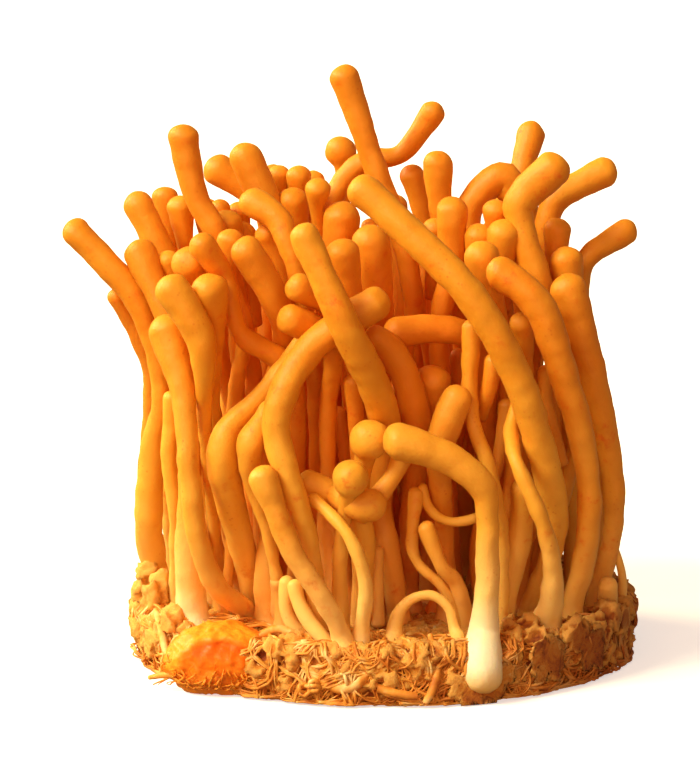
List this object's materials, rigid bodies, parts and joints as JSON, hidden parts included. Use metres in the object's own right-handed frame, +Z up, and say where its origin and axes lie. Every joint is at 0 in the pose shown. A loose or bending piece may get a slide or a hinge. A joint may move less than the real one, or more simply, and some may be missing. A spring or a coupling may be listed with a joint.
{
  "type": "cordyceps mushroom clump",
  "caption": "Clump of slender orange club-headed mushroom fruit bodies standing on a round fibrous substrate mat with a flat cut underside.",
  "frame": {"origin": "middle of the mat's flat cut underside", "axes": "+Z up along the growth; -Y towards the side that is seen first; +X to that side's right"},
  "size_m": [0.0853, 0.0783, 0.0884],
  "materials": {
    "stroma_flesh": "satin, fine-grained fresh fungus flesh, orange, paler at the foot",
    "substrate": "matt, fibrous and crumbly, tan to brown with pale mycelium"
  },
  "bodies": {
    "root": {"cluster_back_left": "stroma_flesh", "cluster_back_middle": "stroma_flesh", "cluster_back_right": "stroma_flesh", "cluster_centre": "stroma_flesh", "cluster_left": "stroma_flesh", "cluster_right": "stroma_flesh", "root_arch": "stroma_flesh", "strands_front_right": "stroma_flesh", "stroma_arched_pale": "stroma_flesh", "stroma_centre_curved": "stroma_flesh", "stroma_front_arch": "stroma_flesh", "stroma_front_diagonal": "stroma_flesh", "stroma_front_leaning": "stroma_flesh", "stroma_front_left_stub": "stroma_flesh", "stroma_front_pale": "stroma_flesh", "stroma_front_pear": "stroma_flesh", "stroma_inner_straight": "stroma_flesh", "stroma_left_arch": "stroma_flesh", "stroma_left_bent": "stroma_flesh", "stroma_left_bulb": "stroma_flesh", "stroma_left_cream": "stroma_flesh", "stroma_left_crown": "stroma_flesh", "stroma_left_crown_behind": "stroma_flesh", "stroma_left_crown_short": "stroma_flesh", "stroma_left_hooked": "stroma_flesh", "stroma_left_necked": "stroma_flesh", "stroma_left_notched": "stroma_flesh", "stroma_left_outer": "stroma_flesh", "stroma_left_pouch": "stroma_flesh", "stroma_left_reaching": "stroma_flesh", "stroma_left_slender": "stroma_flesh", "stroma_left_stout": "stroma_flesh", "stroma_left_tall": "stroma_flesh", "stroma_level": "stroma_flesh", "stroma_right_bent_over": "stroma_flesh", "stroma_right_bowed": "stroma_flesh", "stroma_right_diagonal": "stroma_flesh", "stroma_right_dome": "stroma_flesh", "stroma_right_elbow": "stroma_flesh", "stroma_right_flared": "stroma_flesh", "stroma_right_high": "stroma_flesh", "stroma_right_outer": "stroma_flesh", "stroma_right_reaching": "stroma_flesh", "stroma_right_spread": "stroma_flesh", "stroma_right_upright": "stroma_flesh", "stroma_round_knob": "stroma_flesh", "stroma_round_knob_high": "stroma_flesh", "stroma_round_knob_low": "stroma_flesh", "stroma_side_lower": "stroma_flesh", "stroma_side_upper": "stroma_flesh", "stroma_slanting_behind": "stroma_flesh", "stroma_slanting_front": "stroma_flesh", "stroma_tallest": "stroma_flesh", "stroma_thumb": "stroma_flesh", "stroma_thumb_behind": "stroma_flesh", "stroma_upper_arch": "stroma_flesh", "stroma_upper_centre": "stroma_flesh", "stroma_upper_leg": "stroma_flesh", "stroma_white_foot": "stroma_flesh", "substrate_mat": "substrate"}
  },
  "joints": []
}
